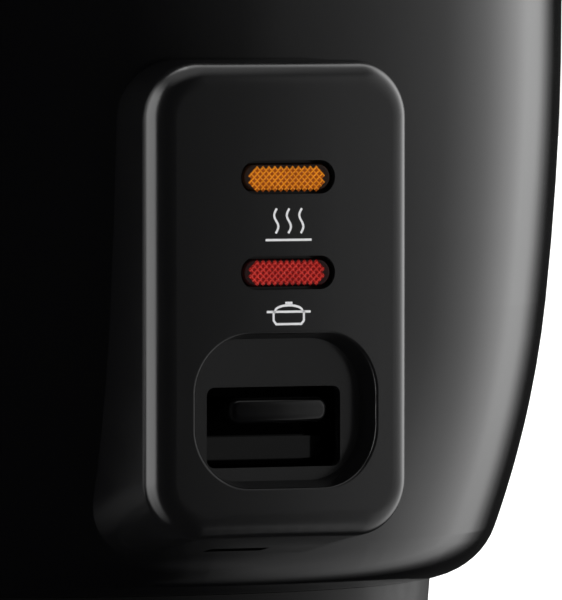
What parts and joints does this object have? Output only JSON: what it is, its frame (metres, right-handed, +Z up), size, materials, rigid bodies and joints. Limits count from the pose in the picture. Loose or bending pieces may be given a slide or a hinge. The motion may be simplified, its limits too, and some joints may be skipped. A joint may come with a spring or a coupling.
{
  "type": "rice cooker",
  "caption": "Round-bodied rice cooker with a raised front panel holding two lamps and a cook switch, a lift-out pot, a domed glass lid with knob, side handles and a rear mains inlet.",
  "frame": {"origin": "on the floor, on the axis of the pot and shell", "axes": "+Z up, -Y out of the control panel, +X to the right of someone facing the panel"},
  "size_m": [0.252, 0.2224, 0.1995],
  "materials": {
    "shell_black": "high gloss",
    "panel_black": "fine satin",
    "gloss_black": "polished",
    "tab_black": "polished",
    "steel_trim": "satin",
    "liner_steel": "zinc coated",
    "spring_steel": "drawn",
    "zinc_steel": "zinc plated",
    "pot_metal": "anodised outside, coated inside",
    "cast_aluminium": "machined casting",
    "element_steel": "oxidised",
    "lid_glass": "clear tempered",
    "rubber_black": "matte",
    "silicone": "matte",
    "lens_amber": "clear tinted, knurled behind",
    "lens_red": "clear tinted, knurled behind",
    "lamp_glass": "clear",
    "white_plastic": "moulded",
    "tan_ceramic": "unglazed",
    "ferrite": "ground",
    "magnet_alloy": "ground",
    "brass": "stamped",
    "mica": "layered mica",
    "wire_white": "extruded",
    "wire_red": "extruded"
  },
  "bodies": {
    "cooker": {"outer_shell": "shell_black", "top_ring": "steel_trim", "inner_liner": "liner_steel", "base_cover": "gloss_black", "rubber_feet": "rubber_black", "base_screws": "zinc_steel", "left_handle": "gloss_black", "right_handle": "gloss_black", "large_screws": "zinc_steel", "panel_housing": "panel_black", "small_screws": "zinc_steel", "keep_warm_lens": "lens_amber", "cook_lens": "lens_red", "lamp_holder": "white_plastic", "keep_warm_lamp": "lamp_glass", "cook_lamp": "lamp_glass", "lamp_resistors": "tan_ceramic", "lamp_wires": "wire_white", "heating_plate": "cast_aluminium", "heating_element": "element_steel", "element_terminals": "brass", "plate_standoffs": "zinc_steel", "keep_warm_heater": "mica", "thermal_fuse": "tan_ceramic", "fuse_clip": "zinc_steel", "keep_warm_thermostat": "brass", "terminal_block": "white_plastic", "sensor_cup": "zinc_steel", "cap_spring": "spring_steel", "lever_bracket": "zinc_steel", "lever_pin": "zinc_steel", "pin_clips": "spring_steel", "microswitch": "tan_ceramic", "switch_screws": "zinc_steel", "switch_terminals": "brass", "inlet_socket": "gloss_black", "inlet_blades": "brass", "earth_strap": "brass", "power_wires": "wire_red"},
    "pot": {"inner_pot": "pot_metal"},
    "lid": {"lid_glass": "lid_glass", "lid_rim": "steel_trim", "vent_eyelet": "steel_trim", "lid_knob": "gloss_black", "knob_foot": "steel_trim", "knob_seal": "silicone", "knob_washer": "zinc_steel", "knob_screw": "zinc_steel"},
    "switch": {"switch_lever": "zinc_steel", "lever_tab": "tab_black", "tab_rivets": "zinc_steel"},
    "magnet_rod": {"magnet": "magnet_alloy", "magnet_holder": "zinc_steel", "pull_rod": "zinc_steel", "rod_clip": "zinc_steel", "return_spring": "spring_steel"},
    "sensor": {"sensor_cap": "cast_aluminium", "sensor_ferrite": "ferrite"},
    "plunger": {"microswitch_plunger": "white_plastic"}
  },
  "joints": [
    {"name": "pot_lift", "type": "slide", "parent": "cooker", "child": "pot", "axis": [0, 0, 1], "range_m": [0, 0.16]},
    {"name": "lid_lift", "type": "slide", "parent": "pot", "child": "lid", "axis": [0, 0, 1], "range_m": [0, 0.12]},
    {"name": "cook_switch", "type": "hinge", "parent": "cooker", "child": "switch", "pos_m": [0, -0.045, 0.028], "axis": [1, 0, 0], "range_deg": [0, 6.2], "stiffness_Nm_per_rad": 0.2, "springref_deg": -28.65},
    {"name": "rod_rise", "type": "slide", "parent": "cooker", "child": "magnet_rod", "axis": [0, 0, 1], "range_m": [0, 0.0049], "deforming": ["return_spring"]},
    {"name": "sensor_rise", "type": "slide", "parent": "cooker", "child": "sensor", "axis": [0, 0, 1], "range_m": [0, 0.003], "deforming": ["cap_spring"]},
    {"name": "plunger_travel", "type": "slide", "parent": "cooker", "child": "plunger", "axis": [0, 0, 1], "range_m": [0, 0.0012]}
  ],
  "couplings": [
    {"joint": "rod_rise", "follows": "cook_switch", "m_per_rad": 0.045},
    {"joint": "plunger_travel", "follows": "cook_switch", "m_per_rad": 0.011},
    {"joint": "sensor_rise", "follows": "pot_lift", "ratio": 0.01875}
  ]
}
